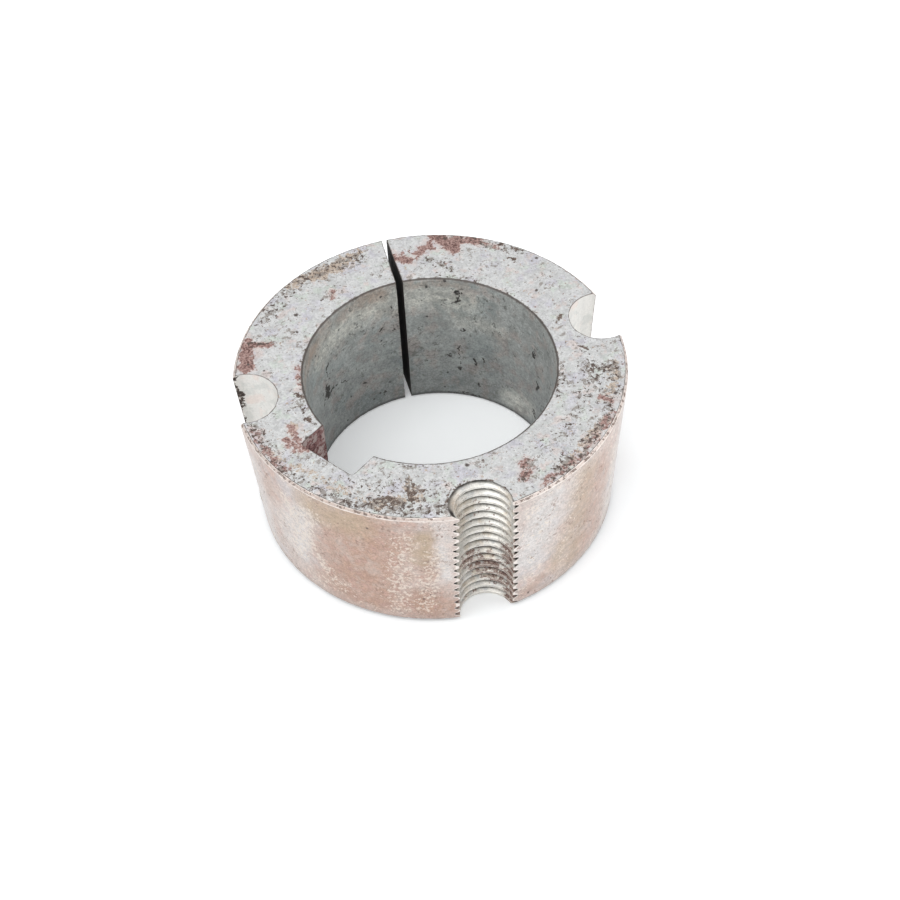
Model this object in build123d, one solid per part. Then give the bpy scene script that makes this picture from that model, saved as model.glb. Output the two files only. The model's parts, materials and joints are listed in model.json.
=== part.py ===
"""Split taper bush that clamps a pulley or sprocket hub onto a shaft.

The bush is one solid ring of cast iron, turned to a shallow cone outside and bored straight
through. A keyway is broached along the bore and one side is sawn right through, so that the ring
can close on the shaft. Three half-holes run down the outside, parallel to the axis: two blind
pockets that take the clamping screws, and a tapped groove that takes a screw for jacking the bush
out of its hub again. The other half of each hole is in the hub. The thread is cut as a true helix.

Frame: millimetres, origin on the bore axis in the small end face, +Z along the bore towards the
large end, -Y through the tapped groove.
"""

import os
from math import radians, sqrt, tan

from build123d import *

# Ring
LENGTH = 25.4
LARGE_END_DIAMETER = 57.15
TAPER_PER_SIDE_DEG = 4.0
BORE_DIAMETER = 36.5125
LARGE_RIM_CHAMFER = 0.4
SMALL_RIM_CHAMFER = 0.7
BORE_CHAMFER = 0.3

# Half-holes down the outside, on one pitch circle
SCREW_DIAMETER = 9.525
HOLE_PITCH_DIAMETER = 53.975
GROOVE_DIRECTION_DEG = -90.0
POCKET_FROM_GROOVE_DEG = 94.7
POCKET_DEPTH = 17.5
DRILL_POINT_DEG = 118.0
DRILL_CHISEL_EDGE = 1.2
TAPPING_DRILL_DIAMETER = 7.9375

# Thread of the tapped half-hole: right-handed, one start, 60 degree form
THREAD_PITCH = 1.5875
THREAD_ANGLE_DEG = 60.0
THREAD_PHASE_DEG = 165.0

# Keyway along the bore
KEYWAY_WIDTH = 9.525
KEYWAY_DEPTH = 4.7625
KEYWAY_CORNER_RADIUS = 0.5
KEYWAY_FROM_GROOVE_DEG = -55.4

# Saw cut, across from the tapped groove: the ring has sprung shut a little at the rim
SLIT_WIDTH_AT_BORE = 1.05
SLIT_WIDTH_AT_RIM = 0.75
SLIT_FROM_GROOVE_DEG = 178.8

# Cutters start and stop this far outside the metal, so that no face is shared
OVERRUN = 2.0
TAP_OVERRUN = 0.3

# Sizes that follow from the ones above
LARGE_RADIUS = LARGE_END_DIAMETER / 2
TAPER_SLOPE = tan(radians(TAPER_PER_SIDE_DEG))
BORE_RADIUS = BORE_DIAMETER / 2
HOLE_PITCH_RADIUS = HOLE_PITCH_DIAMETER / 2
SCREW_RADIUS = SCREW_DIAMETER / 2
TAPPING_DRILL_RADIUS = TAPPING_DRILL_DIAMETER / 2


def outer_radius(height: float) -> float:
    """Radius of the tapered outside at a height above the small end."""
    return LARGE_RADIUS - (LENGTH - height) * TAPER_SLOPE


def turned_ring() -> Part:
    """The bored and chamfered cone, as one turned profile."""
    with BuildPart() as ring:
        with BuildSketch(Plane.XZ):
            with BuildLine():
                Polyline(
                    (BORE_RADIUS + BORE_CHAMFER, 0),
                    (outer_radius(0) - SMALL_RIM_CHAMFER, 0),
                    (outer_radius(SMALL_RIM_CHAMFER), SMALL_RIM_CHAMFER),
                    (outer_radius(LENGTH - LARGE_RIM_CHAMFER), LENGTH - LARGE_RIM_CHAMFER),
                    (LARGE_RADIUS - LARGE_RIM_CHAMFER, LENGTH),
                    (BORE_RADIUS + BORE_CHAMFER, LENGTH),
                    (BORE_RADIUS, LENGTH - BORE_CHAMFER),
                    (BORE_RADIUS, BORE_CHAMFER),
                    close=True,
                )
            make_face()
        revolve(axis=Axis.Z)
    return ring.part


def drilled_pocket() -> Part:
    """Cutter for one screw pocket: a twist drill's hole, open at the large end."""
    chisel_radius = DRILL_CHISEL_EDGE / 2
    point_depth = (SCREW_RADIUS - chisel_radius) / tan(radians(DRILL_POINT_DEG / 2))
    floor = LENGTH - POCKET_DEPTH
    with BuildPart() as drill:
        with BuildSketch(Plane.XZ):
            with BuildLine():
                Polyline(
                    (0, floor - point_depth),
                    (chisel_radius, floor - point_depth),
                    (SCREW_RADIUS, floor),
                    (SCREW_RADIUS, LENGTH + OVERRUN),
                    (0, LENGTH + OVERRUN),
                    close=True,
                )
            make_face()
        revolve(axis=Axis.Z)
    return drill.part


def thread_ridge() -> Part:
    """Cutter for the thread alone: one V-shaped ridge wound right-handed about +Z."""
    crest_half = THREAD_PITCH / 16
    inner_radius = TAPPING_DRILL_RADIUS - TAP_OVERRUN
    root_half = crest_half + (SCREW_RADIUS - inner_radius) * tan(radians(THREAD_ANGLE_DEG / 2))
    path = Helix(THREAD_PITCH, LENGTH + 2 * OVERRUN, SCREW_RADIUS)
    with BuildPart() as ridge:
        with BuildSketch(Plane.XZ):
            with BuildLine():
                Polyline(
                    (inner_radius, -root_half),
                    (SCREW_RADIUS, -crest_half),
                    (SCREW_RADIUS, crest_half),
                    (inner_radius, root_half),
                    close=True,
                )
            make_face()
        sweep(path=path, is_frenet=True)
    return Pos(0, 0, -OVERRUN) * Rot(Z=THREAD_PHASE_DEG) * ridge.part


def tap() -> Part:
    """Cutter for the jacking groove: the tapping drill's hole with the thread round it."""
    drill = Cylinder(TAPPING_DRILL_RADIUS, LENGTH + 2 * OVERRUN)
    return Pos(0, 0, LENGTH / 2) * drill + thread_ridge()


def keyway_broach() -> Part:
    """Cutter for the keyway, along +X, with rounded floor corners."""
    flank_start = sqrt(BORE_RADIUS**2 - (KEYWAY_WIDTH / 2) ** 2)
    floor = flank_start + KEYWAY_DEPTH
    inner = flank_start - OVERRUN
    with BuildPart() as broach:
        with BuildSketch(Plane.XY.offset(-OVERRUN)):
            with Locations(((inner + floor) / 2, 0)):
                slot = Rectangle(floor - inner, KEYWAY_WIDTH)
            fillet(slot.vertices().group_by(Axis.X)[-1], KEYWAY_CORNER_RADIUS)
        extrude(amount=LENGTH + 2 * OVERRUN)
    return broach.part


def slitting_saw() -> Part:
    """Cutter for the saw cut, along +X, from inside the bore to outside the rim."""
    closing = (SLIT_WIDTH_AT_BORE - SLIT_WIDTH_AT_RIM) / (LARGE_RADIUS - BORE_RADIUS)
    inner_half = (SLIT_WIDTH_AT_BORE + closing * OVERRUN) / 2
    outer_half = (SLIT_WIDTH_AT_RIM - closing * OVERRUN) / 2
    inner = BORE_RADIUS - OVERRUN
    outer = LARGE_RADIUS + OVERRUN
    with BuildPart() as saw:
        with BuildSketch(Plane.XY.offset(-OVERRUN)):
            with BuildLine():
                Polyline(
                    (inner, -inner_half),
                    (outer, -outer_half),
                    (outer, outer_half),
                    (inner, inner_half),
                    close=True,
                )
            make_face()
        extrude(amount=LENGTH + 2 * OVERRUN)
    return saw.part


def towards(from_groove_deg: float) -> Location:
    """Turn about the bore that carries +X to an angle measured from the tapped groove."""
    return Rot(Z=GROOVE_DIRECTION_DEG + from_groove_deg)


def taper_bush() -> Part:
    """The whole bush."""
    on_pitch_circle = Pos(HOLE_PITCH_RADIUS, 0, 0)
    bush = turned_ring()
    for side in (-1, 1):
        bush -= towards(side * POCKET_FROM_GROOVE_DEG) * on_pitch_circle * drilled_pocket()
    bush -= towards(0) * on_pitch_circle * tap()
    bush -= towards(KEYWAY_FROM_GROOVE_DEG) * keyway_broach()
    bush -= towards(SLIT_FROM_GROOVE_DEG) * slitting_saw()
    return bush


os.makedirs("parts", exist_ok=True)
export_step(taper_bush(), "parts/taper_bush.step")
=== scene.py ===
"""Looks of a split taper bush that clamps a hub onto a shaft.

The bush is one ring of grey iron, and it is made here the way it is machined: a turned blank, then
two blind screw pockets, a tapped half-hole, a keyway and a saw cut, all cut out of it in one
Geometry Nodes tree. The same tree rubs the sharp edges down. Each cutter leaves its own finish on
the walls that it cuts.

Frame: metres, origin on the bore axis in the small end face, +Z along the bore towards the large
end, -Y through the tapped half-hole.
"""

from __future__ import annotations

import json
import logging
import math
from dataclasses import dataclass
from enum import Enum
from typing import Any, Sequence

import bpy
from mathutils import Matrix, Vector

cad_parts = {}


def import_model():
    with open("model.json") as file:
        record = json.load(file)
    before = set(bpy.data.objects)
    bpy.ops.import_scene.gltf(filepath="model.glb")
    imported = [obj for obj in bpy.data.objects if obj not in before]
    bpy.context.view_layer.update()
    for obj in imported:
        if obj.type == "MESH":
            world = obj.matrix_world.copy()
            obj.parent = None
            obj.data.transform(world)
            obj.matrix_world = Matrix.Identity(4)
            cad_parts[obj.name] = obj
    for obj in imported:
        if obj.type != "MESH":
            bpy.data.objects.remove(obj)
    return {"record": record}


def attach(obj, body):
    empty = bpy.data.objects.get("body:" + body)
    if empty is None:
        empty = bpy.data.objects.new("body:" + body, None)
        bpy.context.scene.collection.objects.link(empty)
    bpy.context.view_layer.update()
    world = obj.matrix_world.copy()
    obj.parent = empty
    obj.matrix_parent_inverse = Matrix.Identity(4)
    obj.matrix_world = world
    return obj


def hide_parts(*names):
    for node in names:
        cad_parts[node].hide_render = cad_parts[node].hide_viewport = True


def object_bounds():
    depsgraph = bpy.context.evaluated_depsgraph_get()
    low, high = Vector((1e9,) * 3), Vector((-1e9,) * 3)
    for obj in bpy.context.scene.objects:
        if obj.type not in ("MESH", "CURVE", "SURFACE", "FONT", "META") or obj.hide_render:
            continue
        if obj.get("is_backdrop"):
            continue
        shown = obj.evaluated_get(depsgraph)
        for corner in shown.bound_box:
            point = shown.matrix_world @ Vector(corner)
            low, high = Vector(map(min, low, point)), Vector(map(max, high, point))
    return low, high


LOG = logging.getLogger("taper_bush")
MM = 0.001
EDGE_DISTANCE = "edge_distance"
LENGTH_MM = 25.4


class Socket(Enum):
    """Kinds of socket that the groups here take and give, by Blender's name for their type."""

    GEOMETRY = "NodeSocketGeometry"
    VALUE = "NodeSocketFloat"
    INT = "NodeSocketInt"
    VECTOR = "NodeSocketVector"
    RGBA = "NodeSocketColor"

    @classmethod
    def suiting(cls, default: Any) -> Socket:
        """Gives the kind that suits an input's default."""
        if isinstance(default, cls):
            return default
        if isinstance(default, tuple):
            return cls.RGBA if len(default) == 4 else cls.VECTOR
        return cls.INT if isinstance(default, int) else cls.VALUE


class Weaver:
    """Adds nodes to one tree, sets them and links them."""

    def __init__(self, tree: bpy.types.NodeTree) -> None:
        """Starts on a geometry or shader tree."""
        self.tree = tree

    def add(self, kind: str, feeds: dict[Any, Any] | None = None, **settings: Any) -> bpy.types.Node:
        """Adds one node.

        Args:
            kind: Blender's name for the node's type.
            feeds: what goes into its inputs, by socket name or number: a socket to link, or a value.
            settings: the node's own settings, set before its inputs.

        Returns:
            The new node.
        """
        node = self.tree.nodes.new(kind)
        for name, value in settings.items():
            setattr(node, name, value)
        for key, value in (feeds or {}).items():
            if isinstance(value, bpy.types.NodeSocket):
                self.tree.links.new(value, node.inputs[key])
            else:
                node.inputs[key].default_value = value
        return node

    def out(self, kind: str, feeds: dict[Any, Any] | None = None, **settings: Any) -> bpy.types.NodeSocket:
        """Adds one node and gives its first output."""
        return self.add(kind, feeds, **settings).outputs[0]

    def use(self, tree: bpy.types.NodeTree, **feeds: Any) -> bpy.types.Node:
        """Places a group and feeds its inputs, with underscores for the spaces in their names."""
        kind = "GeometryNodeGroup" if tree.type == "GEOMETRY" else "ShaderNodeGroup"
        named = {name.replace("_", " "): value for name, value in feeds.items()}
        return self.add(kind, named, node_tree=tree)

    def math(self, operation: str, *values: Any) -> bpy.types.NodeSocket:
        """Gives the result of a Math node."""
        return self.out("ShaderNodeMath", dict(enumerate(values)), operation=operation)

    def plus(self, one: Any, other: Any) -> bpy.types.NodeSocket:
        """Gives the sum of two numbers."""
        return self.math("ADD", one, other)

    def minus(self, one: Any, other: Any) -> bpy.types.NodeSocket:
        """Gives one number less another."""
        return self.math("SUBTRACT", one, other)

    def times(self, one: Any, other: Any) -> bpy.types.NodeSocket:
        """Gives the product of two numbers."""
        return self.math("MULTIPLY", one, other)

    def negative(self, value: Any) -> bpy.types.NodeSocket:
        """Gives a number with its sign turned."""
        return self.times(value, -1.0)

    def held(self, value: Any, low: Any, high: Any) -> bpy.types.NodeSocket:
        """Gives a number held between two others."""
        return self.math("MINIMUM", self.math("MAXIMUM", value, low), high)

    def ease(self, value: Any, low: Any, high: Any, at_low: Any = 0.0, at_high: Any = 1.0) -> Any:
        """Maps a number smoothly from one range to another, and holds it at the ends."""
        feeds = {0: value, 1: low, 2: high, 3: at_low, 4: at_high}
        return self.out("ShaderNodeMapRange", feeds, interpolation_type="SMOOTHSTEP")

    def vector(self, operation: str, *values: Any) -> bpy.types.NodeSocket:
        """Gives the vector that a Vector Math node works out, or the number for a length."""
        node = self.add("ShaderNodeVectorMath", dict(enumerate(values)), operation=operation)
        number = operation in ("LENGTH", "DISTANCE", "DOT_PRODUCT")
        return node.outputs["Value" if number else "Vector"]

    def scaled(self, vector: Any, factor: Any) -> bpy.types.NodeSocket:
        """Gives a vector times a number."""
        return self.out("ShaderNodeVectorMath", {0: vector, "Scale": factor}, operation="SCALE")

    def split(self, vector: Any) -> tuple[bpy.types.NodeSocket, ...]:
        """Gives the x, y and z of a vector."""
        return tuple(self.add("ShaderNodeSeparateXYZ", {0: vector}).outputs)

    def combine(self, x: Any = 0.0, y: Any = 0.0, z: Any = 0.0) -> bpy.types.NodeSocket:
        """Gives the vector of three numbers."""
        return self.out("ShaderNodeCombineXYZ", {0: x, 1: y, 2: z})

    def position(self) -> bpy.types.NodeSocket:
        """Gives where each point or face of a geometry is."""
        return self.out("GeometryNodeInputPosition")

    def true_normal(self) -> bpy.types.NodeSocket:
        """Gives which way each face of a geometry looks."""
        return self.add("GeometryNodeInputNormal").outputs["True Normal"]

    def noise(self, place: Any, size: Any, detail: float = 3.0, roughness: float = 0.6) -> Any:
        """Gives soft noise around 0.5.

        Args:
            place: the position it is read at.
            size: of its largest patches, in the same unit.
            detail: octaves.
            roughness: how strong the finer octaves are.

        Returns:
            The noise's value.
        """
        scale = self.math("DIVIDE", 1.0, size) if isinstance(size, bpy.types.NodeSocket) else 1.0 / size
        feeds = {"Vector": place, "Scale": scale, "Detail": detail, "Roughness": roughness}
        return self.out("ShaderNodeTexNoise", feeds)

    def shaken(self, place: Any, scale: Any, detail: float, reach: Any) -> bpy.types.NodeSocket:
        """Gives a place moved by noise, so that what is drawn there has a ragged outline.

        Args:
            place: the place.
            scale: how many waves of the noise there are to a millimetre.
            detail: octaves of the noise.
            reach: how far it moves the place.

        Returns:
            The moved place.
        """
        wobble = self.add("ShaderNodeTexNoise", {"Vector": place, "Scale": scale, "Detail": detail})
        shift = self.vector("SUBTRACT", wobble.outputs["Color"], (0.5, 0.5, 0.5))
        return self.vector("ADD", place, self.scaled(shift, reach))

    def blend(self, mask: Any, below: Any, above: Any) -> bpy.types.NodeSocket:
        """Gives the colour below where a mask is 0 and the colour above where it is 1."""
        return self.add("ShaderNodeMix", {0: mask, 6: below, 7: above}, data_type="RGBA").outputs[2]

    def mixed(self, mask: Any, below: Any, above: Any) -> bpy.types.NodeSocket:
        """Gives the number below where a mask is 0 and the number above where it is 1."""
        return self.out("ShaderNodeMix", {0: mask, 2: below, 3: above}, data_type="FLOAT")

    def wedge(self, start: Any, start_half: Any, end: Any, end_half: Any) -> bpy.types.NodeSocket:
        """Gives a closed outline along x, with a half width at its start and another at its end."""
        corners = [
            (start, self.negative(start_half)),
            (end, self.negative(end_half)),
            (end, end_half),
            (start, start_half),
        ]
        feeds = {f"Point {number}": self.combine(x, y) for number, (x, y) in enumerate(corners, 1)}
        return self.out("GeometryNodeCurvePrimitiveQuadrilateral", feeds, mode="POINTS")


class Group(Weaver):
    """A node group being built.

    Attributes:
        given: what comes into it, by name.
    """

    def __init__(self, name: str, kind: str, takes: dict[str, Any]) -> None:
        """Makes the group and its named inputs.

        Args:
            name: the group's name.
            kind: GeometryNodeTree or ShaderNodeTree.
            takes: the inputs, each name with its default, or with Socket.GEOMETRY.
        """
        super().__init__(bpy.data.node_groups.new(name, kind))
        for title, default in takes.items():
            socket = Socket.suiting(default)
            made = self.tree.interface.new_socket(name=title, in_out="INPUT", socket_type=socket.value)
            if socket is not Socket.GEOMETRY:
                made.default_value = default
        self.given = self.add("NodeGroupInput").outputs

    def take(self, *names: str) -> tuple[bpy.types.NodeSocket, ...]:
        """Gives some of the inputs by name."""
        return tuple(self.given[name] for name in names)

    def gives(self, **results: bpy.types.NodeSocket) -> bpy.types.NodeTree:
        """Makes the group's named outputs and gives the finished group."""
        for title, socket in results.items():
            kind = Socket[socket.type].value
            self.tree.interface.new_socket(name=title, in_out="OUTPUT", socket_type=kind)
        self.add("NodeGroupOutput", results)
        return self.tree


def revolved_group() -> bpy.types.NodeTree:
    """Makes the group that turns an outline of radius and height about the Z axis."""
    takes = {"Outline": Socket.GEOMETRY, "Path Radius": 0.02, "Columns": 360}
    weave = Group("revolved", "GeometryNodeTree", takes)
    outline, path_radius, columns = weave.take(*takes)
    radius, _, height = weave.split(weave.position())
    beside_path = weave.combine(weave.minus(radius, path_radius), weave.negative(height))
    section = weave.out("GeometryNodeSetPosition", {"Geometry": outline, "Position": beside_path})
    profile = weave.out("GeometryNodeMeshToCurve", {"Mesh": section})
    path = weave.out("GeometryNodeCurvePrimitiveCircle", {"Resolution": columns, "Radius": path_radius})
    ring = weave.out("GeometryNodeCurveToMesh", {"Curve": path, "Profile Curve": profile})
    return weave.gives(Mesh=weave.out("GeometryNodeFlipFaces", {"Mesh": ring}))


def placed_group() -> bpy.types.NodeTree:
    """Makes the group that carries a cutter out from the bore axis and turns it about that axis."""
    takes = {"Cutter": Socket.GEOMETRY, "Reach": 0.0, "Turn": 0.0, "Height": 0.0}
    weave = Group("placed", "GeometryNodeTree", takes)
    cutter, reach, turn, height = weave.take(*takes)
    x = weave.times(reach, weave.math("COSINE", turn))
    y = weave.times(reach, weave.math("SINE", turn))
    place = weave.combine(x, y, height)
    feeds = {"Geometry": cutter, "Translation": place, "Rotation": weave.combine(z=turn)}
    return weave.gives(Cutter=weave.out("GeometryNodeTransform", feeds))


def drill_group(around: int = 96, rings: int = 8) -> bpy.types.NodeTree:
    """Makes the group for a twist drill, its point down and its shoulder at a depth below zero.

    Args:
        around: points round the drill.
        rings: rings of the point.

    Returns:
        The group.
    """
    takes = {
        "Radius": 0.004,
        "Depth": 0.01,
        "Overrun": 0.002,
        "Point Slope": 0.6,
        "Chisel Radius": 0.0,
        "Segments": 40,
    }
    weave = Group("drill", "GeometryNodeTree", takes)
    radius, depth, overrun, slope, chisel_radius, segments = weave.take(*takes)
    body = weave.add(
        "GeometryNodeMeshCylinder",
        {
            "Vertices": around,
            "Side Segments": segments,
            "Fill Segments": rings,
            "Radius": radius,
            "Depth": weave.plus(depth, overrun),
        },
    )
    middle = weave.combine(z=weave.times(weave.minus(overrun, depth), 0.5))
    lowered = weave.out("GeometryNodeSetPosition", {"Geometry": body.outputs["Mesh"], "Offset": middle})
    x, y, _ = weave.split(weave.position())
    from_axis = weave.vector("LENGTH", weave.combine(x, y))
    to_rim = weave.minus(radius, weave.math("MAXIMUM", from_axis, chisel_radius))
    point = weave.combine(z=weave.negative(weave.times(to_rim, slope)))
    feeds = {"Geometry": lowered, "Selection": body.outputs["Bottom"], "Offset": point}
    return weave.gives(Mesh=weave.out("GeometryNodeSetPosition", feeds))


def thread_group(around: int = 64, crest_share: float = 16.0) -> bpy.types.NodeTree:
    """Makes the group for a tap: one V-shaped ridge that winds up a right-handed helix.

    Args:
        around: points in each turn.
        crest_share: how many times the half width of the ridge's flat crest goes into the pitch.

    Returns:
        The group.
    """
    takes = {
        "Major Radius": 0.005,
        "Inner Radius": 0.004,
        "Pitch": 0.0015,
        "Half Angle": 0.5,
        "Height": 0.02,
        "Phase": 0.0,
    }
    weave = Group("tap", "GeometryNodeTree", takes)
    major_radius, inner_radius, pitch, half_angle, height, phase = weave.take(*takes)
    path = weave.out(
        "GeometryNodeCurveSpiral",
        {
            "Resolution": around,
            "Rotations": weave.math("DIVIDE", height, pitch),
            "Start Radius": major_radius,
            "End Radius": major_radius,
            "Height": height,
            "Reverse": True,
        },
    )
    upright = weave.out("GeometryNodeSetCurveNormal", {"Curve": path}, mode="Z_UP")
    depth = weave.minus(major_radius, inner_radius)
    crest = weave.math("DIVIDE", pitch, crest_share)
    foot = weave.plus(crest, weave.times(depth, weave.math("TANGENT", half_angle)))
    ridge = weave.wedge(weave.negative(depth), foot, 0.0, crest)
    finer = weave.out("GeometryNodeSubdivideCurve", {"Curve": ridge, "Cuts": 2})
    feeds = {"Curve": upright, "Profile Curve": finer, "Fill Caps": True}
    wound = weave.out("GeometryNodeCurveToMesh", feeds)
    feeds = {"Geometry": wound, "Rotation": weave.combine(z=phase)}
    return weave.gives(Mesh=weave.out("GeometryNodeTransform", feeds))


def bar_group(corner_points: int = 5, cuts: int = 9, rows: int = 60) -> bpy.types.NodeTree:
    """Makes the group for a bar of a cutter that points along +X, such as a broach or a saw blade.

    Args:
        corner_points: points round each corner of its outline.
        cuts: points along each side of the outline.
        rows: outlines up the bar.

    Returns:
        The group.
    """
    takes = {
        "Inner": 0.015,
        "Outer": 0.022,
        "Inner Width": 0.009,
        "Outer Width": 0.009,
        "Corner": 0.0005,
        "Height": 0.03,
    }
    weave = Group("bar", "GeometryNodeTree", takes)
    inner, outer, inner_width, outer_width, corner, height = weave.take(*takes)
    outline = weave.wedge(inner, weave.times(inner_width, 0.5), outer, weave.times(outer_width, 0.5))
    feeds = {"Curve": outline, "Radius": corner, "Limit Radius": True, "Count": corner_points}
    rounded = weave.out("GeometryNodeFilletCurve", feeds, mode="POLY")
    finer = weave.out("GeometryNodeSubdivideCurve", {"Curve": rounded, "Cuts": cuts})
    ends = {"Start": (0.0, 0.0, 0.0), "End": weave.combine(z=height)}
    line = weave.out("GeometryNodeCurvePrimitiveLine", ends)
    rail = weave.out("GeometryNodeResampleCurve", {"Curve": line, "Count": rows})
    feeds = {"Curve": rail, "Profile Curve": finer, "Fill Caps": True}
    return weave.gives(Mesh=weave.out("GeometryNodeCurveToMesh", feeds))


def rubbed_group(
    weld: float = 0.01 * MM, calm: float = 0.45, worn: float = 0.8, least: float = 0.12
) -> bpy.types.NodeTree:
    """Makes the group that rubs the outward edges down and stores how far each point is from one.

    Args:
        weld: points closer together than this become one.
        calm: noise up to which an edge is rubbed least.
        worn: noise from which it is rubbed to the full depth.
        least: share of the depth where it is rubbed least.

    Returns:
        The group.
    """
    takes = {
        "Mesh": Socket.GEOMETRY,
        "Edge Angle": 0.4,
        "Width": 0.0004,
        "Depth": 0.0001,
        "Nick Size": 0.001,
        "Length": 0.025,
    }
    weave = Group("rubbed", "GeometryNodeTree", takes)
    mesh, edge_angle, width, depth, nick_size, length = weave.take(*takes)
    clean = weave.out("GeometryNodeMergeByDistance", {"Geometry": mesh, "Distance": weld})
    bend = weave.add("GeometryNodeInputMeshEdgeAngle").outputs["Signed Angle"]
    sharp = weave.math("GREATER_THAN", bend, edge_angle)
    feeds = {"Geometry": clean, "Selection": sharp}
    edges = weave.out("GeometryNodeSeparateGeometry", feeds, domain="EDGE")
    near = weave.add("GeometryNodeProximity", {"Target": edges}, target_element="EDGES")
    feeds = {"Geometry": clean, "Name": EDGE_DISTANCE, "Value": near.outputs["Distance"]}
    kept = weave.out("GeometryNodeStoreNamedAttribute", feeds, data_type="FLOAT", domain="POINT")
    distance = weave.out("GeometryNodeInputNamedAttribute", {"Name": EDGE_DISTANCE}, data_type="FLOAT")
    closeness = weave.ease(distance, 0.0, width, 1.0, 0.0)
    nicks = weave.ease(weave.noise(weave.position(), nick_size), calm, worn, least, 1.0)
    inward = weave.negative(weave.times(weave.times(nicks, closeness), depth))
    normal = weave.out("GeometryNodeInputNormal")
    x, y, height = weave.split(weave.vector("ADD", weave.position(), weave.scaled(normal, inward)))
    between_ends = weave.combine(x, y, weave.held(height, 0.0, length))
    feeds = {"Geometry": kept, "Position": between_ends}
    return weave.gives(Mesh=weave.out("GeometryNodeSetPosition", feeds))


def new_object(name: str, data: Any) -> bpy.types.Object:
    """Makes an object and puts it in the scene."""
    made = bpy.data.objects.new(name, data)
    bpy.context.scene.collection.objects.link(made)
    return made


def fresh_nodes(owner: Any) -> Weaver:
    """Gives a weaver for the nodes of a material or a world, with none there yet."""
    owner.use_nodes = True
    owner.node_tree.nodes.clear()
    return Weaver(owner.node_tree)


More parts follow.
